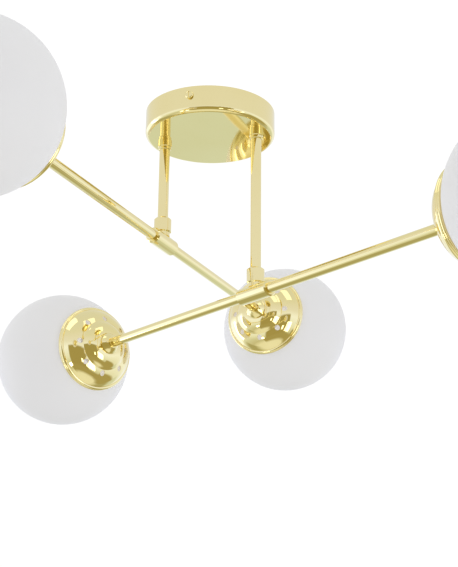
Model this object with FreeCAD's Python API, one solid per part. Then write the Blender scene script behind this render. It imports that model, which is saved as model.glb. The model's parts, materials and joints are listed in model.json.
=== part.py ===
"""Multi arm chandelier: two crossed bars with four opal globes, hung from one round ceiling canopy.

Units are millimetres. The origin is the centre of the canopy on the ceiling plane, +Z points up,
and the two drop rods stand on the X axis. Arm A is the short drop at -X, arm B the long one at +X.
Each arm is a rigid group that swivels about its own drop rod in a bush in the canopy floor.
"""
import math
import os

import FreeCAD
import Part

V = FreeCAD.Vector
os.makedirs("parts", exist_ok=True)

# ---------------------------------------------------------------- driving dimensions
ROD_OFFSET = 46.0        # each drop rod from the canopy centre
DROP_A = 101.0           # canopy floor to the axis of bar A
DROP_B = 160.0           # canopy floor to the axis of bar B
AZIMUTH_A = 83.0         # rest direction of bar A, degrees from +X
AZIMUTH_B = -32.2        # rest direction of bar B
REACH = 312.0            # drop rod axis to globe centre, both ways

TUBE_R = 5.0             # drop rods and bars, M10 x 1 ends
TUBE_BORE_R = 4.0
GAP = 0.2                # axial play between the swivelling parts
RUNNING = 0.05           # radial play of a rod in its bush

CANOPY_R = 62.0
CANOPY_H = 25.0
SKIN = 1.2
LIP_R = 4.5              # rounded lower edge of the canopy

BUSH_FLANGE_R = 6.6      # step that shows under the canopy
BUSH_NOSE_R = 6.0
BUSH_STEM_R = 5.8
BUSH_FLANGE_H = 4.0
BUSH_NOSE_H = 3.0
BUSH_NUT_H = 3.5
WASHER_R = 7.5
WASHER_H = 0.8
ROD_NUT_AF = 14.0
ROD_NUT_H = 4.0

BRACKET_W = 20.0         # ceiling strap, across
BRACKET_L = 115.0        # ceiling strap, along Y
BRACKET_T = 2.0
LUG_DROP = 14.0
SLOT_SPACING = 70.0
SLOT_W = 4.5
SLOT_L = 12.0
CABLE_HOLE_R = 4.5
SIDE_SCREW_Z = -9.0

COLLAR_R = 8.2           # upright collar of the tee, around the foot of a rod
COLLAR_TOP = 23.0        # above the bar axis
COLLAR_FOOT = 9.0
BOSS_R = 6.9             # neck between the collar and the sleeve
BOSS_BOTTOM = 5.0
SLEEVE_R = 7.6           # sleeve of the tee, around the bar
SLEEVE_L = 40.0
CHAMFER = 1.2
WIRE_HOLE_R = 3.0
GRUB_R = 2.0

GLOBE_R = 70.0
GLASS_T = 2.8
NECK_R = 22.9            # screw neck of the globe
NECK_BORE_R = 19.8
NECK_END = 74.5          # axial distances from here on are from the globe centre, towards the rod

CUP_T = 0.9
CUP_RIM_R = 42.6
CUP_RIM_AT = 57.5
CUP_BEAD_R = 1.5
CUP_EDGE = (57.5, 42.9)  # (axial distance, radius) where the shoulder leaves the rim
SHOULDER = (52.7, 18.55) # centre of the shoulder's arc
SHOULDER_R = 24.82
STEP_FOOT = (76.3, 26.2)
STEP_HEAD = (78.0, 24.6)
DOME = (66.24, 9.6)      # centre of the dome's arc
DOME_R = 19.06
VENT_R = 2.8
VENT_CIRCLE_R = 29.5
VENT_COUNT = 8
CUP_BACK = 85.3          # flat back of the cup, where the hub nut seats

HUB_NUT_END = 92.0
BAR_END = 72.0
LOCK_NUT_AF = 14.0
LOCK_NUT_H = 3.0
GALLERY_T = 1.2

HOLDER_BACK = 79.6       # E14 lampholder
HOLDER_R = 13.0
HOLDER_MOUTH = 44.0
SOCKET_R = 7.2
SOCKET_BACK = 66.0

CAP_R = 6.9              # E14 lamp cap
BULB_R = 17.5            # candle lamp
BULB_TIP_R = 2.5
BULB_TIP_AT = -32.5      # centre of the rounded tip
BULB_WALL = 1.0
LEAD_R = 1.7

BAR_Z = {"a": -(CANOPY_H + DROP_A), "b": -(CANOPY_H + DROP_B)}
ROD_X = {"a": -ROD_OFFSET, "b": ROD_OFFSET}
AZIMUTH = {"a": AZIMUTH_A, "b": AZIMUTH_B}

FLOOR_TOP = -CANOPY_H + SKIN
BUSH_TOP = FLOOR_TOP + BUSH_NUT_H + 1.0
WASHER_TOP = BUSH_TOP + WASHER_H
ROD_NUT_BOTTOM = WASHER_TOP + GAP
ROD_TOP = ROD_NUT_BOTTOM + ROD_NUT_H + 1.0
LEAD_TOP = ROD_TOP + 3.0


# ---------------------------------------------------------------- helpers
def save(name, shape):
    solids = shape.Solids
    assert solids and all(s.isValid() and s.Volume > 0 for s in solids), name
    shape = solids[0] if len(solids) == 1 else Part.makeCompound(solids)
    shape.exportStep("parts/%s.step" % name)


def cylinder(radius, low, high, axis=V(0, 0, 1), at=V(0, 0, 0)):
    """Cylinder about a line through `at` along `axis`, from distance low to high."""
    return Part.makeCylinder(radius, high - low, at + axis * low, axis)


def tube(outer, inner, low, high, axis=V(0, 0, 1), at=V(0, 0, 0)):
    return cylinder(outer, low, high, axis, at).cut(cylinder(inner, low - 1, high + 1, axis, at))


def box(x0, x1, y0, y1, z0, z1):
    return Part.makeBox(x1 - x0, y1 - y0, z1 - z0, V(x0, y0, z0))


def hex_nut(across_flats, bore, low, high, axis=V(0, 0, 1), at=V(0, 0, 0)):
    """Hexagon nut with its corners turned off at both faces."""
    corner = across_flats / math.sqrt(3)
    points = [V(corner * math.cos(math.radians(60 * i)), corner * math.sin(math.radians(60 * i)), 0)
              for i in range(7)]
    prism = Part.Face(Part.makePolygon(points)).extrude(V(0, 0, high - low))
    turned = cylinder(corner * 0.985, 0, high - low)
    turned = turned.makeChamfer(0.5, [e for e in turned.Edges if e.Closed])
    nut = prism.common(turned).cut(cylinder(bore, -1, high - low + 1))
    nut.Placement = FreeCAD.Placement(at + axis * low, FreeCAD.Rotation(V(0, 0, 1), axis))
    return nut


def turned(outline, axis=V(0, 0, 1)):
    """Revolve a closed outline of (distance along the axis, radius) points about the axis.

    A three-point entry ("arc", middle, end) draws an arc from the last point.
    """
    across = V(0, 1, 0) if axis.x else V(1, 0, 0)

    def point(p):
        return axis * p[0] + across * p[1]

    edges, last = [], outline[0]
    for item in list(outline[1:]) + [outline[0]]:
        if item[0] == "arc":
            edges.append(Part.Arc(point(last), point(item[1]), point(item[2])).toShape())
            last = item[2]
        elif point(item).distanceToPoint(point(last)) > 1e-6:
            edges.append(Part.makeLine(point(last), point(item)))
            last = item
    face = Part.Face(Part.Wire(edges))
    solid = face.revolve(V(0, 0, 0), axis, 360)
    shell = Part.Shell(solid.Faces)
    if Part.Solid(shell).Volume < 0:
        shell.reverse()
    return Part.Solid(shell)


def bent_wire(points, radius, bend):
    """Round wire along straight runs between the points, with an arc of the bend radius at each corner."""
    edges, start = [], points[0]
    for before, corner, after in zip(points, points[1:], points[2:]):
        back, ahead = (before - corner).normalize(), (after - corner).normalize()
        half = back.getAngle(ahead) / 2
        first, last = corner + back * (bend / math.tan(half)), corner + ahead * (bend / math.tan(half))
        inward = (back + ahead).normalize()
        middle = corner + inward * (bend / math.sin(half) - bend)
        edges += [Part.makeLine(start, first), Part.Arc(first, middle, last).toShape()]
        start = last
    edges.append(Part.makeLine(start, points[-1]))
    circle = Part.Wire(Part.makeCircle(radius, points[0], points[1] - points[0]))
    return Part.Wire(edges).makePipeShell([circle], True, False)


def one_solid(shape):
    return shape.removeSplitter()


X, Y, Z = V(1, 0, 0), V(0, 1, 0), V(0, 0, 1)


# ---------------------------------------------------------------- canopy and what stays with the ceiling
def canopy_cover():
    """Spun brass dish, open to the ceiling, with a rounded lower lip and two bush holes."""
    outer = cylinder(CANOPY_R, -CANOPY_H, 0)
    outer = outer.makeFillet(LIP_R, [e for e in outer.Edges if e.Closed and e.CenterOfMass.z < -1])
    inner = cylinder(CANOPY_R - SKIN, -CANOPY_H + SKIN, 0)
    inner = inner.makeFillet(LIP_R - SKIN, [e for e in inner.Edges if e.Closed and e.CenterOfMass.z < -1])
    dish = outer.cut(inner)
    for x in ROD_X.values():
        dish = dish.cut(cylinder(BUSH_STEM_R + 0.1, -CANOPY_H - 1, FLOOR_TOP + 1, Z, V(x, 0, 0)))
    for side in (-1, 1):
        dish = dish.cut(cylinder(2.2, CANOPY_R - 5, CANOPY_R + 1, Y * side, V(0, 0, SIDE_SCREW_Z)))
    return dish


def slot(y):
    half = (SLOT_L - SLOT_W) / 2
    cut = box(-SLOT_W / 2, SLOT_W / 2, y - half, y + half, -BRACKET_T - 1, 1)
    for end in (-half, half):
        cut = cut.fuse(cylinder(SLOT_W / 2, -BRACKET_T - 1, 1, Z, V(0, y + end, 0)))
    return cut


def ceiling_bracket():
    """Steel strap across the ceiling box, with a turned-down lug at each end for the side screws."""
    strap = box(-BRACKET_W / 2, BRACKET_W / 2, -BRACKET_L / 2, BRACKET_L / 2, -BRACKET_T, 0)
    for side in (-1, 1):
        y_out, y_in = side * BRACKET_L / 2, side * (BRACKET_L / 2 - BRACKET_T)
        strap = strap.fuse(box(-8, 8, min(y_out, y_in), max(y_out, y_in), -LUG_DROP, 0))
    strap = one_solid(strap)
    for side in (-1, 1):
        strap = strap.cut(slot(side * SLOT_SPACING / 2))
        lug_hole = cylinder(2.0, BRACKET_L / 2 - 5, BRACKET_L / 2 + 1, Y * side, V(0, 0, SIDE_SCREW_Z))
        strap = strap.cut(lug_hole)
    strap = strap.cut(cylinder(CABLE_HOLE_R, -BRACKET_T - 1, 1))
    return strap.cut(cylinder(2.0, -BRACKET_T - 1, 1, Z, V(0, 17, 0)))


def side_screws():
    """Two domed screws through the canopy wall into the bracket lugs."""
    screws = []
    seat = CANOPY_R + 0.05
    for side in (-1, 1):
        shank = cylinder(2.0, BRACKET_L / 2 - 4, seat, Y * side, V(0, 0, SIDE_SCREW_Z))
        head = cylinder(3.8, seat, seat + 2.6, Y * side, V(0, 0, SIDE_SCREW_Z))
        rim = [e for e in head.Edges if e.Closed and abs(e.CenterOfMass.y) > seat + 1]
        head = head.makeFillet(1.2, rim)
        screw = shank.fuse(head)
        driver = box(-0.5, 0.5, 0, 1.2, -3.0, 3.0)
        driver.translate(V(0, seat + 1.6, SIDE_SCREW_Z))
        if side < 0:
            driver = driver.mirror(V(0, 0, 0), Y)
        screws.append(one_solid(screw.cut(driver)))
    return Part.makeCompound(screws)


BLOCK = dict(x=9.0, y0=-27.0, y1=-7.0, z0=-15.0, z1=-BRACKET_T)
WAYS = [BLOCK["y0"] + (BLOCK["y1"] - BLOCK["y0"]) * (i + 0.5) / 3 for i in range(3)]
WAY_Z = -7.0


def terminal_block():
    """Three-way terminal block with a wire bore and a screw well for each way."""
    block = box(-BLOCK["x"], BLOCK["x"], BLOCK["y0"], BLOCK["y1"], BLOCK["z0"], BLOCK["z1"])
    for y in WAYS:
        block = block.cut(cylinder(2.0, -20, 20, X, V(0, y, WAY_Z)))
        for x in (-4.5, 4.5):
            block = block.cut(cylinder(1.9, BLOCK["z0"] - 1, WAY_Z, Z, V(x, y, 0)))
    for y in (0.5 * (WAYS[0] + WAYS[1]), 0.5 * (WAYS[1] + WAYS[2])):
        block = block.cut(box(-20, 20, y - 0.6, y + 0.6, BLOCK["z0"] - 1, BLOCK["z0"] + 2))
    return block


def terminal_screws():
    screws = []
    for y in WAYS:
        for x in (-4.5, 4.5):
            screw = cylinder(1.8, BLOCK["z0"] + 2.0, WAY_Z - 1.8, Z, V(x, y, 0))
            screws.append(screw.cut(box(x - 2, x + 2, y - 0.3, y + 0.3, BLOCK["z0"], BLOCK["z0"] + 2.7)))
    return Part.makeCompound(screws)


def earth_screw():
    """Pan-head earth screw under the strap."""
    head = cylinder(3.6, -BRACKET_T - 2.4, -BRACKET_T, Z, V(0, 17, 0))
    head = head.makeFillet(1.0, [e for e in head.Edges if e.Closed and e.CenterOfMass.z < -BRACKET_T - 2])
    screw = head.fuse(cylinder(2.0, -BRACKET_T, -0.3, Z, V(0, 17, 0)))
    return one_solid(screw.cut(box(-4, 4, 16.6, 17.4, -BRACKET_T - 3, -BRACKET_T - 1.4)))


def feed_leads():
    """Short leads from the terminal block to the top of each drop rod."""
    wires = []
    for arm, side in (("a", -1), ("b", 1)):
        y = WAYS[0 if arm == "a" else 2]
        high = LEAD_TOP + 5.2
        points = [V(side * 5.5, y, WAY_Z), V(side * 17, y, WAY_Z), V(side * ROD_OFFSET, 0, high),
                  V(side * ROD_OFFSET, 0, LEAD_TOP + 0.6)]
        wires.append(bent_wire(points, 1.4, 3.2))
    return Part.makeCompound(wires)


def bush(x):
    """Brass swivel bush: a stepped flange below the canopy floor and a threaded stem through it."""
    z = -CANOPY_H
    nose = z - BUSH_FLANGE_H - BUSH_NOSE_H
    bore = TUBE_R + RUNNING
    outline = [(nose, bore), (nose, BUSH_NOSE_R - 0.6), (nose + 0.6, BUSH_NOSE_R),
               (z - BUSH_FLANGE_H, BUSH_NOSE_R), (z - BUSH_FLANGE_H + 0.5, BUSH_FLANGE_R),
               (z, BUSH_FLANGE_R), (z, BUSH_STEM_R), (BUSH_TOP, BUSH_STEM_R), (BUSH_TOP, bore)]
    solid = turned(outline)
    solid.translate(V(x, 0, 0))
    return solid


def bush_nuts():
    return Part.makeCompound([hex_nut(16.0, BUSH_STEM_R, FLOOR_TOP, FLOOR_TOP + BUSH_NUT_H, Z, V(x, 0, 0))
                              for x in ROD_X.values()])


def thrust_washers():
    return Part.makeCompound([tube(WASHER_R, TUBE_R + RUNNING, BUSH_TOP, WASHER_TOP, Z, V(x, 0, 0))
                              for x in ROD_X.values()])


# ---------------------------------------------------------------- arm parts, in the arm's own frame
# The arm frame has its origin where the rod axis meets the bar axis; the bar lies along X.
def rod(top):
    """Drop rod from the tee collar to above the swivel nut, in arm coordinates."""
    return tube(TUBE_R, TUBE_BORE_R, SLEEVE_R + 0.4, top)


def collar():
    """Upright half of the tee: a turned collar on a short neck, saddled onto the sleeve."""
    outline = [(BOSS_BOTTOM, TUBE_R), (BOSS_BOTTOM, BOSS_R), (COLLAR_FOOT - 0.4, BOSS_R),
               (COLLAR_FOOT + 0.6, COLLAR_R), (COLLAR_TOP - CHAMFER, COLLAR_R),
               (COLLAR_TOP, COLLAR_R - CHAMFER), (COLLAR_TOP, TUBE_R)]
    return turned(outline).cut(cylinder(SLEEVE_R, -20, 20, X))


def sleeve():
    """Lying half of the tee: a chamfered sleeve that the bar slides through."""
    half = SLEEVE_L / 2
    outline = [(-half, TUBE_R), (-half, SLEEVE_R - CHAMFER), (-half + CHAMFER, SLEEVE_R),
               (half - CHAMFER, SLEEVE_R), (half, SLEEVE_R - CHAMFER), (half, TUBE_R)]
    body = turned(outline, X)
    body = body.cut(cylinder(WIRE_HOLE_R, 0, 12))
    return body.cut(cylinder(GRUB_R, 0, 12, Y, V(SLEEVE_L / 4, 0, 0)))


def sleeve_screw():
    """Grub screw that clamps the bar in the sleeve, with a hexagon socket."""
    screw = cylinder(GRUB_R, TUBE_R, SLEEVE_R - 0.2, Y, V(SLEEVE_L / 4, 0, 0))
    points = [V(SLEEVE_L / 4 + 1.15 * math.cos(math.radians(60 * i)), SLEEVE_R - 1.6,
                1.15 * math.sin(math.radians(60 * i))) for i in range(7)]
    return screw.cut(Part.Face(Part.makePolygon(points)).extrude(V(0, 3, 0)))


def bar():
    """One straight tube carrying both globes, with a wire hole under the rod."""
    length = REACH - BAR_END
    return tube(TUBE_R, TUBE_BORE_R, -length, length, X).cut(cylinder(WIRE_HOLE_R, 0, 12))


def lead(top):
    """Flexible lead down the rod, teed off inside the bar to both lampholders."""
    end = REACH - HOLDER_BACK + 2.0
    across = cylinder(LEAD_R, -end, end, X)
    return one_solid(across.fuse(cylinder(LEAD_R, 0, top)))


def at_globe(distance):
    """Position along the bar of a point this far from the globe centre."""
    return REACH - distance


def hub_nut():
    """Turned brass nut that closes the cup onto the bar."""
    a, b = at_globe(HUB_NUT_END), at_globe(CUP_BACK)
    return turned([(a, TUBE_R), (a, 6.0), ("arc", (a + 2.6, 8.6), (b - 1.6, 10.4)), (b - 1.2, 10.9),
                   (b - 0.3, 10.9), (b, 10.5), (b, TUBE_R)], X)


def cup_outline(inset):
    """Cup wall from the rim to the back as an outline for turned(), moved inwards by inset.

    The shoulder and the dome are arcs; a short slope makes the step between them.
    """
    def on_arc(centre, radius, angle):
        angle, radius = math.radians(angle), radius - inset
        return at_globe(centre[0] + radius * math.cos(angle)), centre[1] + radius * math.sin(angle)

    def angle_at(centre, a, r):
        return math.degrees(math.atan2(r - centre[1], a - centre[0]))

    rim, heel = angle_at(SHOULDER, *CUP_EDGE), angle_at(SHOULDER, *STEP_FOOT)
    top, flat = angle_at(DOME, *STEP_HEAD), 0.0
    return [on_arc(SHOULDER, SHOULDER_R, rim),
            ("arc", on_arc(SHOULDER, SHOULDER_R, (rim + heel) / 2), on_arc(SHOULDER, SHOULDER_R, heel)),
            on_arc(DOME, DOME_R, top),
            ("arc", on_arc(DOME, DOME_R, (top + flat) / 2), on_arc(DOME, DOME_R, flat)),
            (at_globe(CUP_BACK - inset), TUBE_R + 0.05)]


def backwards(outline):
    """The same outline drawn from its end to its start."""
    ends = [outline[0]] + [item[2] if item[0] == "arc" else item for item in outline[1:]]
    result = [ends[-1]]
    for item, before in zip(reversed(outline[1:]), reversed(ends[:-1])):
        result.append(("arc", item[1], before) if item[0] == "arc" else before)
    return result


def cup():
    """Spun brass cup: beaded rim, wide vented shoulder, a step and a small dome with a flat back."""
    shell = turned(cup_outline(0.0) + backwards(cup_outline(CUP_T)), X)
    bead = Part.makeTorus(CUP_RIM_R, CUP_BEAD_R, V(at_globe(CUP_RIM_AT), 0, 0), X)
    body = shell.fuse(bead)
    for i in range(VENT_COUNT):
        angle = 2 * math.pi * i / VENT_COUNT
        centre = V(0, VENT_CIRCLE_R * math.cos(angle), VENT_CIRCLE_R * math.sin(angle))
        body = body.cut(cylinder(VENT_R, at_globe(82), at_globe(70.4), X, centre))
    return body


def lock_nut():
    top = CUP_BACK - CUP_T
    return hex_nut(LOCK_NUT_AF, TUBE_R, at_globe(top), at_globe(top - LOCK_NUT_H), X)


def gallery_ring():
    """Threaded collar that the globe's neck screws into, clamped behind the lampholder."""
    t = GALLERY_T
    back = CUP_BACK - CUP_T - LOCK_NUT_H
    mouth, neck = 68.5, NECK_R + 0.2
    outline = [(back, TUBE_R + 0.05), (back, 14.6), (76.4, 14.6), (76.0, neck + 1.6), (mouth, neck + 1.6),
               (mouth, neck), (76.0 - t, neck), (76.4 - t, 14.6 - t), (back - t, 14.6 - t),
               (back - t, TUBE_R + 0.05)]
    return turned([(at_globe(a), r) for a, r in outline], X)


def lampholder():
    """E14 lampholder, screwed on the end of the bar."""
    outer = turned([(at_globe(HOLDER_BACK), TUBE_R), (at_globe(HOLDER_BACK), 12.0),
                    (at_globe(HOLDER_BACK - 1), HOLDER_R), (at_globe(HOLDER_MOUTH + 2), HOLDER_R),
                    (at_globe(HOLDER_MOUTH), HOLDER_R - 1.5), (at_globe(HOLDER_MOUTH), SOCKET_R),
                    (at_globe(SOCKET_BACK), SOCKET_R), (at_globe(SOCKET_BACK), 2.5),
                    (at_globe(BAR_END - 0.2), 2.5), (at_globe(BAR_END - 0.2), TUBE_R)], X)
    return outer


def bulb_cap():
    """E14 screw shell with its insulator and centre contact."""
    back = SOCKET_BACK - 0.3
    return turned([(at_globe(back), 0), (at_globe(back), 1.8), (at_globe(back - 1.5), 2.2),
                   (at_globe(back - 2.5), 4.6), (at_globe(back - 4.0), CAP_R), (at_globe(42.0), CAP_R),
                   (at_globe(42.0), 0)], X)


def bulb_glass():
    """Candle lamp envelope: a ball belly with straight tapers to the cap and to a small round tip."""
    belly, foot, foot_r = 10.0, 42.0, 6.6
    taper = math.atan2(foot_r, foot - belly) + math.acos(BULB_R / math.hypot(foot - belly, foot_r))
    tip = belly - BULB_TIP_AT
    point = math.acos((BULB_R - BULB_TIP_R) / tip)

    def wall(inset):
        big, small = BULB_R - inset, BULB_TIP_R - inset

        def on(centre, radius, angle):
            return at_globe(centre + radius * math.cos(angle)), radius * math.sin(angle)

        return [(at_globe(foot), foot_r - inset / math.sin(taper)), on(belly, big, taper),
                ("arc", on(belly, big, math.pi / 2), on(belly, big, math.pi - point)),
                on(BULB_TIP_AT, small, math.pi - point),
                ("arc", on(BULB_TIP_AT, small, math.pi - point / 2), (at_globe(BULB_TIP_AT - small), 0))]

    return turned(wall(0.0) + backwards(wall(BULB_WALL)), X)


def globe():
    """Blown opal globe with a short screw neck facing the cup."""
    r, inner = GLOBE_R, GLOBE_R - GLASS_T

    def on_ball(radius, off_axis):
        return (at_globe(math.sqrt(radius ** 2 - off_axis ** 2)), off_axis)

    start, far = on_ball(r, NECK_R), at_globe(-r)
    inner_far, inner_end = at_globe(-inner), on_ball(inner, NECK_BORE_R)
    lip = at_globe(NECK_END)
    outline = [start, ("arc", (REACH, r), (far, 0)), (inner_far, 0), ("arc", (REACH, inner), inner_end),
               (lip, NECK_BORE_R), (lip, NECK_R - 0.5), (lip + 0.5, NECK_R)]
    return turned(outline, X)


# ---------------------------------------------------------------- placing and export
def put(shape, arm, end=1):
    """Turn a shape from the arm frame to its place; end 2 is the other end of the bar."""
    placed = shape.copy()
    if end == 2:
        placed.rotate(V(0, 0, 0), Z, 180)
    placed.rotate(V(0, 0, 0), Z, AZIMUTH[arm])
    placed.translate(V(ROD_X[arm], 0, BAR_Z[arm]))
    return placed


save("canopy_cover", canopy_cover())
save("ceiling_bracket", ceiling_bracket())
save("side_screws", side_screws())
save("terminal_block", terminal_block())
save("terminal_screws", terminal_screws())
save("earth_screw", earth_screw())
save("feed_leads", feed_leads())
save("bush_a", bush(ROD_X["a"]))
save("bush_b", bush(ROD_X["b"]))
save("bush_nuts", bush_nuts())
save("thrust_washers", thrust_washers())

ONE_EACH = {"collar": collar(), "sleeve": sleeve(), "sleeve_screw": sleeve_screw(), "bar": bar()}
PAIRS = {"hub_nuts": hub_nut(), "lock_nuts": lock_nut(), "gallery_rings": gallery_ring()}
ENDS = {"cup": cup(), "lampholder": lampholder(), "bulb_cap": bulb_cap(), "bulb_glass": bulb_glass(),
        "globe": globe()}

for arm in ("a", "b"):
    save("rod_" + arm, put(rod(ROD_TOP - BAR_Z[arm]), arm))
    save("rod_nut_" + arm, put(hex_nut(ROD_NUT_AF, TUBE_R, ROD_NUT_BOTTOM - BAR_Z[arm],
                                       ROD_NUT_BOTTOM + ROD_NUT_H - BAR_Z[arm]), arm))
    save("lead_" + arm, put(lead(LEAD_TOP - BAR_Z[arm]), arm))
    for name, shape in ONE_EACH.items():
        save("%s_%s" % (name, arm), put(shape, arm))
    for name, shape in PAIRS.items():
        save("%s_%s" % (name, arm), Part.makeCompound([put(shape, arm, 1), put(shape, arm, 2)]))
    for name, shape in ENDS.items():
        for end in (1, 2):
            save("%s_%s%d" % (name, arm, end), put(shape, arm, end))
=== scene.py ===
import json
import math

import bmesh
import bpy
from mathutils import Matrix, Vector


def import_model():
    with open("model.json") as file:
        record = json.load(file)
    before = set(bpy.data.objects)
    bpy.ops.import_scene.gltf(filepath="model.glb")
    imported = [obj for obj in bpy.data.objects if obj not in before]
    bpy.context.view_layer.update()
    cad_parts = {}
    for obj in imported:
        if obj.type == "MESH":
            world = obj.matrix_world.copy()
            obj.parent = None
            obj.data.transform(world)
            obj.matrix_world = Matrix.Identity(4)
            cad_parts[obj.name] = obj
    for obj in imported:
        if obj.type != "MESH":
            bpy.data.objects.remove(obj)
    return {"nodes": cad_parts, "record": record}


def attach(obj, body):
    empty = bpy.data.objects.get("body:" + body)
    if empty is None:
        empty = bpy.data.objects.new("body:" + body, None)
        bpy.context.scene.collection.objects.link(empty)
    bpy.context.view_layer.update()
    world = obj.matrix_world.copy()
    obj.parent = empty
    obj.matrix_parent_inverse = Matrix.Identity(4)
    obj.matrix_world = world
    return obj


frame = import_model()
NODES, RECORD = frame["nodes"], frame["record"]
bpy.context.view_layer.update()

# The ceiling plane is z = 0 and the lamp hangs below it. Lengths are in metres.
ROD_X = {"a": -0.046, "b": 0.046}
BAR_Z = {"a": -0.126, "b": -0.185}
AZIMUTH = {"a": math.radians(83.0), "b": math.radians(-32.2)}
REACH = 0.312                               # from a rod's axis to the centre of each globe

# A globe's glass is under its cup where it is nearer to the hub's centre than about 0.26. The painted
# glow, an emission that stands in for light through the glass, changes from one strength to the other
# between these two distances.
UNDER_CUP_TO, OPEN_FROM = 0.255, 0.261
OPEN_PAINTED_GLOW, UNDER_CUP_PAINTED_GLOW = 0.19, 0.43      # emission strengths

RIM_AT = 0.0598                             # from the globe's centre towards the hub
RIM_R = 0.0419
RIM_HALF_WIDTH = 0.0022
RIM_HALF_HEIGHT = 0.0023
RIM_CREST = 0.85                            # under 1 flattens the crest of the oval
RIM_TURNS, RIM_STEPS = 192, 28              # faces round the mouth and round the wire

FLOOR_HALF, FLOOR_Z = 60.0, -2.3
LAMP_MIDDLE = (0, 0, -0.15)

CAMERA_AT = (0.36142, -1.09577, -0.56268)
CAMERA_YAW, CAMERA_PITCH, CAMERA_ROLL = (math.radians(v) for v in (-17.2795, 18.7198, 0.5861))
CAMERA_LENS = 83.644                        # millimetres, on a sensor 36 mm long


# ---------------------------------------------------------------- node helpers
def new_material(name):
    mat = bpy.data.materials.new(name)
    mat.use_nodes = True
    tree = mat.node_tree
    return mat, tree, tree.nodes["Principled BSDF"]


def noise(tree, scale, detail=2.0, roughness=0.5):
    """Noise in object space; a node's object sits at the row origin, so the scale is per metre."""
    coord = tree.nodes.new("ShaderNodeTexCoord")
    tex = tree.nodes.new("ShaderNodeTexNoise")
    tex.inputs["Scale"].default_value = scale
    tex.inputs["Detail"].default_value = detail
    tex.inputs["Roughness"].default_value = roughness
    tree.links.new(coord.outputs["Object"], tex.inputs["Vector"])
    return tex.outputs["Fac"]


def spread(tree, source, low, high, start=0.3, end=0.7):
    """Maps start..end of the source to low..high, and holds the ends beyond."""
    ramp = tree.nodes.new("ShaderNodeMapRange")
    ramp.inputs["From Min"].default_value = start
    ramp.inputs["From Max"].default_value = end
    ramp.inputs["To Min"].default_value = low
    ramp.inputs["To Max"].default_value = high
    tree.links.new(source, ramp.inputs["Value"])
    return ramp.outputs["Result"]


def blend_colour(tree, factor, first, second):
    """Mix of two colours, each an (r, g, b) or another node's output."""
    mix = tree.nodes.new("ShaderNodeMix")
    mix.data_type = "RGBA"
    tree.links.new(factor, mix.inputs["Factor"])
    for name, value in (("A", first), ("B", second)):
        if isinstance(value, tuple):
            mix.inputs[name].default_value = (*value, 1.0)
        else:
            tree.links.new(value, mix.inputs[name])
    return mix.outputs["Result"]


def math_node(tree, operation, *values):
    node = tree.nodes.new("ShaderNodeMath")
    node.operation = operation
    for socket, value in zip(node.inputs, values):
        if isinstance(value, (int, float)):
            socket.default_value = value
        else:
            tree.links.new(value, socket)
    return node.outputs["Value"]


def bump(tree, shader, source, strength, distance, under=None):
    """Bump from a height, over another bump if one is given. No shader leaves it unconnected."""
    node = tree.nodes.new("ShaderNodeBump")
    node.inputs["Strength"].default_value = strength
    node.inputs["Distance"].default_value = distance
    tree.links.new(source, node.inputs["Height"])
    if under is not None:
        tree.links.new(under, node.inputs["Normal"])
    if shader is not None:
        tree.links.new(node.outputs["Normal"], shader.inputs["Normal"])
    return node.outputs["Normal"]


def vary_colour(tree, shader, source, first, second):
    colour = blend_colour(tree, spread(tree, source, 0.0, 1.0), first, second)
    tree.links.new(colour, shader.inputs["Base Color"])


def vary_roughness(tree, shader, source, low, high):
    tree.links.new(spread(tree, source, low, high), shader.inputs["Roughness"])


# ---------------------------------------------------------------- materials
def brass():
    """Polished yellow brass: lacquer thickness drifts slowly, with faint polishing haze."""
    mat, tree, shader = new_material("polished_brass_fine")
    shader.inputs["Metallic"].default_value = 1.0
    vary_colour(tree, shader, noise(tree, 14.0, 3.0), (0.93, 0.80, 0.415), (0.905, 0.765, 0.37))
    vary_roughness(tree, shader, noise(tree, 260.0, 4.0, 0.6), 0.02, 0.06)
    wave = bump(tree, None, noise(tree, 22.0, 1.0), 0.08, 0.0010)
    bump(tree, shader, noise(tree, 1800.0, 2.0), 0.02, 0.00001, wave)
    return mat


def opal(arm):
    """Satin opal glass: milky body with a soft skin and slight thickness clouding.

    A painted glow stands in for daylight passing through the globe: an emission lifts every side of it a
    little, and the part under the cup, which only the vents show, more. That part is nearest to the hub.
    """
    mat, tree, shader = new_material("opal_glass_fine_" + arm)
    vary_colour(tree, shader, noise(tree, 9.0, 2.0), (0.685, 0.685, 0.687), (0.70, 0.70, 0.70))
    vary_roughness(tree, shader, noise(tree, 300.0, 3.0), 0.48, 0.58)
    shader.inputs["Subsurface Weight"].default_value = 0.4
    shader.inputs["Subsurface Radius"].default_value = (1.0, 0.98, 1.0)
    shader.inputs["Subsurface Scale"].default_value = 0.006
    shader.inputs["Specular IOR Level"].default_value = 0.35
    shader.inputs["Emission Color"].default_value = (1.0, 0.985, 1.0, 1.0)
    from_hub = tree.nodes.new("ShaderNodeVectorMath")
    from_hub.operation = "DISTANCE"
    tree.links.new(tree.nodes.new("ShaderNodeTexCoord").outputs["Object"], from_hub.inputs[0])
    from_hub.inputs[1].default_value = (ROD_X[arm], 0.0, BAR_Z[arm])
    # painted glow: an emission in place of light through the glass, stronger under the cup than on the open
    # globe
    painted_glow = spread(tree, from_hub.outputs["Value"], UNDER_CUP_PAINTED_GLOW, OPEN_PAINTED_GLOW, UNDER_CUP_TO, OPEN_FROM)
    tree.links.new(painted_glow, shader.inputs["Emission Strength"])
    bump(tree, shader, noise(tree, 120.0, 2.0), 0.05, 0.0001)
    return mat


def metal(name, light, dark, rough):
    mat, tree, shader = new_material(name)
    shader.inputs["Metallic"].default_value = 1.0
    grain = noise(tree, 300.0, 3.0, 0.6)
    vary_colour(tree, shader, grain, light, dark)
    vary_roughness(tree, shader, grain, *rough)
    bump(tree, shader, grain, 0.15, 0.0001)
    return mat


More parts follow.
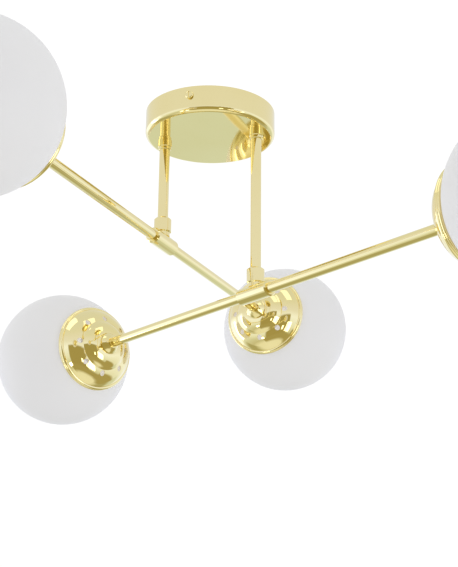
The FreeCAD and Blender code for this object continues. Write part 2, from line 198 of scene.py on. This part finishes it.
def moulded(name, light, dark, rough, scale=500.0):
    mat, tree, shader = new_material(name)
    vary_colour(tree, shader, noise(tree, 40.0), light, dark)
    grain = noise(tree, scale, 3.0)
    vary_roughness(tree, shader, grain, *rough)
    bump(tree, shader, grain, 0.2, 0.00008)
    return mat


def frosted():
    mat, tree, shader = new_material("lamp_glass_fine")
    vary_colour(tree, shader, noise(tree, 60.0), (0.93, 0.92, 0.90), (0.90, 0.90, 0.89))
    vary_roughness(tree, shader, noise(tree, 700.0, 3.0), 0.35, 0.5)
    bump(tree, shader, noise(tree, 1500.0), 0.1, 0.00005)
    return mat


FINISH = {
    "polished_brass": brass(),
    "zinc_steel": metal("zinc_steel_fine", (0.66, 0.67, 0.68), (0.56, 0.57, 0.59), (0.25, 0.42)),
    "terminal_plastic": moulded("terminal_plastic_fine", (0.82, 0.81, 0.76), (0.78, 0.77, 0.72), (0.3, 0.45)),
    "lead_sheath": moulded("lead_sheath_fine", (0.80, 0.80, 0.79), (0.74, 0.74, 0.73), (0.4, 0.55)),
    "nylon": moulded("nylon_fine", (0.84, 0.83, 0.79), (0.80, 0.79, 0.75), (0.4, 0.55)),
    "gallery_aluminium": metal("gallery_aluminium_fine", (0.82, 0.82, 0.83), (0.74, 0.74, 0.76),
                               (0.22, 0.38)),
    "holder_ceramic": moulded("holder_ceramic_fine", (0.90, 0.89, 0.86), (0.87, 0.86, 0.83),
                              (0.12, 0.25), 200.0),
    "lamp_cap": metal("lamp_cap_fine", (0.80, 0.80, 0.81), (0.70, 0.70, 0.72), (0.2, 0.35)),
    "lamp_glass": frosted(),
}
OPAL = {arm: opal(arm) for arm in ROD_X}


def finish_of(name, slot):
    """The opal globes are named globe_a1 to globe_b2, and each arm has its own opal."""
    return OPAL[name[-2]] if slot == "opal_glass" else FINISH[slot]


SLOT_OF = {part["node"]: part["material_slot"] for part in RECORD["subparts"]}
for name, obj in NODES.items():
    for place in obj.material_slots:
        place.material = finish_of(name, SLOT_OF[name])


# ---------------------------------------------------------------- rolled rims of the cups
def rim_ring(mesh, centre, outward, along):
    """One section of the rim's oval wire."""
    ring = []
    for j in range(RIM_STEPS):
        turn = 2.0 * math.pi * j / RIM_STEPS
        height = math.copysign(abs(math.sin(turn)) ** RIM_CREST, math.sin(turn)) * RIM_HALF_HEIGHT
        width = math.cos(turn) * RIM_HALF_WIDTH
        ring.append(mesh.verts.new(centre + outward * (RIM_R + height) + along * width))
    return ring


def rolled_rim(name, arm, side):
    """The cup's rolled edge: a closed oval wire round the mouth, slightly flattened on its crest."""
    facing = AZIMUTH[arm] + (math.pi if side == 2 else 0.0)
    along = Vector((math.cos(facing), math.sin(facing), 0.0))
    across, up = Vector((-along.y, along.x, 0.0)), Vector((0.0, 0.0, 1.0))
    centre = Vector((ROD_X[arm], 0.0, BAR_Z[arm])) + along * (REACH - RIM_AT)
    mesh = bmesh.new()
    rings = []
    for i in range(RIM_TURNS):
        angle = 2.0 * math.pi * i / RIM_TURNS
        rings.append(rim_ring(mesh, centre, across * math.cos(angle) + up * math.sin(angle), along))
    for i in range(RIM_TURNS):
        here, beyond = rings[i], rings[(i + 1) % RIM_TURNS]
        for j in range(RIM_STEPS):
            k = (j + 1) % RIM_STEPS
            mesh.faces.new((here[j], here[k], beyond[k], beyond[j])).smooth = True
    bmesh.ops.recalc_face_normals(mesh, faces=mesh.faces)
    data = bpy.data.meshes.new(name)
    mesh.to_mesh(data)
    mesh.free()
    data.materials.append(FINISH["polished_brass"])
    obj = bpy.data.objects.new(name, data)
    bpy.context.scene.collection.objects.link(obj)
    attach(obj, "arm_" + arm)


for arm in ROD_X:
    for side in (1, 2):
        rolled_rim("cup_rim_%s%d" % (arm, side), arm, side)


# ---------------------------------------------------------------- floor, light and camera
def floor():
    """Pale floor with a little light of its own. It lights and mirrors nothing on the lamp."""
    mesh = bpy.data.meshes.new("floor")
    half, z = FLOOR_HALF, FLOOR_Z
    corners = [(-half, -half, z), (half, -half, z), (half, half, z), (-half, half, z)]
    mesh.from_pydata(corners, [], [(0, 1, 2, 3)])
    obj = bpy.data.objects.new("floor", mesh)
    bpy.context.scene.collection.objects.link(obj)
    mat, tree, shader = new_material("floor_paint")
    vary_colour(tree, shader, noise(tree, 1.5), (0.90, 0.90, 0.895), (0.885, 0.885, 0.88))
    vary_roughness(tree, shader, noise(tree, 30.0), 0.6, 0.75)
    bump(tree, shader, noise(tree, 60.0), 0.05, 0.001)
    shader.inputs["Emission Color"].default_value = (1.0, 1.0, 0.995, 1.0)
    shader.inputs["Emission Strength"].default_value = 0.22
    mesh.materials.append(mat)
    obj.visible_glossy = False
    obj.visible_diffuse = False


def softbox(name, centre, size, power, target=LAMP_MIDDLE):
    data = bpy.data.lights.new(name, "AREA")
    data.shape = "RECTANGLE"
    data.size, data.size_y = size
    data.energy = power
    obj = bpy.data.objects.new(name, data)
    bpy.context.scene.collection.objects.link(obj)
    obj.location = centre
    aim = Vector(target) - Vector(centre)
    obj.rotation_euler = aim.to_track_quat("-Z", "Y").to_euler()
    return obj


def lights():
    softbox("key", (-1.1, -0.9, 2.0), (1.4, 1.4), 4.0)
    softbox("fill", (1.3, -0.6, 1.9), (1.2, 1.2), 2.5)
    softbox("low_right", (1.63, -0.72, -1.06), (0.85, 0.95), 4.4)
    softbox("left_wall", (-2.6, 0.25, -0.55), (0.55, 1.6), 6.5)
    softbox("low_left", (-0.75, -1.0, -1.35), (0.40, 0.28), 1.2)
    softbox("window", (0.95, -1.25, -1.0), (0.22, 0.34), 0.5)
    under_back = softbox("under_back", (0.25, 0.45, -1.45), (0.9, 0.9), 2.2, target=(-0.1, 0.2, -0.15))
    under_back.visible_glossy = False


def sky_ramp(tree, height, stops):
    """Colours by the height of a direction, from (z, colour) stops."""
    ramp = tree.nodes.new("ShaderNodeValToRGB")
    tree.links.new(height, ramp.inputs["Fac"])
    while len(ramp.color_ramp.elements) < len(stops):
        ramp.color_ramp.elements.new(0.5)
    for element, (z, colour) in zip(ramp.color_ramp.elements, stops):
        element.position = (z + 1.0) / 2.0
        element.color = (*colour, 1.0)
    return ramp.outputs["Color"]


def background(tree, colour, strength=1.0):
    node = tree.nodes.new("ShaderNodeBackground")
    node.inputs["Strength"].default_value = strength
    if isinstance(colour, tuple):
        node.inputs["Color"].default_value = (*colour, 1.0)
    else:
        tree.links.new(colour, node.inputs["Color"])
    return node.outputs["Background"]


def panel(tree, direction, facing, half_width, bottom, top, soft):
    """Mask of the directions within half_width degrees of an azimuth and between two elevations."""
    turn = tree.nodes.new("ShaderNodeVectorRotate")
    turn.rotation_type = "Z_AXIS"
    turn.inputs["Angle"].default_value = -math.radians(facing)
    tree.links.new(direction, turn.inputs["Vector"])
    split = tree.nodes.new("ShaderNodeSeparateXYZ")
    tree.links.new(turn.outputs["Vector"], split.inputs["Vector"])
    aside = math_node(tree, "ABSOLUTE", math_node(tree, "ARCTAN2", split.outputs["Y"], split.outputs["X"]))
    edge, soft = math.radians(half_width), math.radians(soft)
    low, high = math.sin(math.radians(bottom)), math.sin(math.radians(top))
    across = spread(tree, aside, 0.0, 1.0, edge + soft, edge - soft)
    under = spread(tree, split.outputs["Z"], 0.0, 1.0, low - soft, low + soft)
    over = spread(tree, split.outputs["Z"], 0.0, 1.0, high + soft, high - soft)
    return math_node(tree, "MULTIPLY", across, math_node(tree, "MULTIPLY", under, over))


# What polished metal sees before the pale walls, each panel over the one above it in this list:
# azimuth from +X, half width, lowest and highest elevation and softness in degrees, then the colour.
PANELS = (
    (168.0, 26.0, -24.0, 12.0, 3.0, (1.2, 1.32, 1.75)),     # bright side wall
    (100.0, 42.0, -35.0, -17.0, 4.0, (0.70, 0.79, 0.78)),   # haze behind
    (105.0, 72.0, -60.0, -34.0, 4.0, (0.45, 0.435, 0.26)),  # brown floor behind
    (-70.0, 38.0, -50.0, 5.0, 2.0, (0.40, 0.345, 0.145)),   # brown room in front
    (-25.0, 92.0, -62.0, -41.0, 2.5, (0.42, 0.37, 0.17)),   # stage edge in front
    (32.0, 30.0, -62.0, -27.0, 2.5, (0.43, 0.38, 0.18)),    # stage edge at the right
)
# The pale walls: the height of a direction, -1 straight down to 1 straight up, and the colour there.
WALLS = (
    (-1.0, (0.90, 0.92, 0.86)), (-0.88, (0.86, 0.88, 0.80)), (-0.76, (0.62, 0.62, 0.48)),
    (-0.60, (0.70, 0.74, 0.66)), (-0.42, (0.86, 0.93, 0.98)), (0.0, (1.0, 1.1, 1.4)),
    (0.25, (0.86, 0.90, 1.02)), (0.37, (0.84, 0.87, 0.97)), (0.6, (0.80, 0.83, 0.82)),
    (1.0, (0.76, 0.80, 0.82)))
# The grey that lights the lamp's diffuse surfaces, by the same heights.
EVEN_GREYS = ((-1.0, 0.67), (-0.4, 0.76), (0.0, 0.86), (0.4, 0.75), (1.0, 0.60))


def world():
    """White studio: an even white for diffuse light and plain white for the lens. Polished metal sees
    pale walls with brown and bright panels before them."""
    surround = bpy.data.worlds.new("studio")
    bpy.context.scene.world = surround
    surround.use_nodes = True
    tree = surround.node_tree
    tree.nodes.remove(tree.nodes["Background"])
    direction = tree.nodes.new("ShaderNodeTexCoord").outputs["Generated"]
    split = tree.nodes.new("ShaderNodeSeparateXYZ")
    tree.links.new(direction, split.inputs["Vector"])
    height = spread(tree, split.outputs["Z"], 0.0, 1.0, -1.0, 1.0)
    mirrored = sky_ramp(tree, height, WALLS)
    for *place, colour in PANELS:
        mirrored = blend_colour(tree, panel(tree, direction, *place), mirrored, colour)
    even = sky_ramp(tree, height, [(z, (grey, grey, grey)) for z, grey in EVEN_GREYS])

    path = tree.nodes.new("ShaderNodeLightPath")
    lamp_sees = tree.nodes.new("ShaderNodeMixShader")
    tree.links.new(path.outputs["Is Glossy Ray"], lamp_sees.inputs["Fac"])
    tree.links.new(background(tree, even), lamp_sees.inputs[1])
    tree.links.new(background(tree, mirrored), lamp_sees.inputs[2])
    everything = tree.nodes.new("ShaderNodeMixShader")
    tree.links.new(path.outputs["Is Camera Ray"], everything.inputs["Fac"])
    tree.links.new(lamp_sees.outputs["Shader"], everything.inputs[1])
    tree.links.new(background(tree, (1.0, 1.0, 1.0), 1.05), everything.inputs[2])
    tree.links.new(everything.outputs["Shader"], tree.nodes["World Output"].inputs["Surface"])


def camera():
    """Below and in front of the lamp, looking slightly up."""
    yaw, pitch, roll = CAMERA_YAW, CAMERA_PITCH, CAMERA_ROLL
    ahead = Vector((math.sin(yaw) * math.cos(pitch), math.cos(yaw) * math.cos(pitch), math.sin(pitch)))
    level = Vector((math.cos(yaw), -math.sin(yaw), 0.0))
    upward = level.cross(ahead)
    right = level * math.cos(roll) + upward * math.sin(roll)
    up = upward * math.cos(roll) - level * math.sin(roll)
    data = bpy.data.cameras.new("camera")
    data.sensor_fit = "AUTO"
    data.sensor_width = 36.0
    data.lens = CAMERA_LENS
    data.clip_end = 200.0
    obj = bpy.data.objects.new("camera", data)
    bpy.context.scene.collection.objects.link(obj)
    turn = Matrix((right, up, -ahead)).transposed().to_4x4()
    obj.matrix_world = Matrix.Translation(CAMERA_AT) @ turn
    bpy.context.scene.camera = obj


floor()
world()
lights()
camera()
bpy.context.scene.view_settings.view_transform = "Standard"
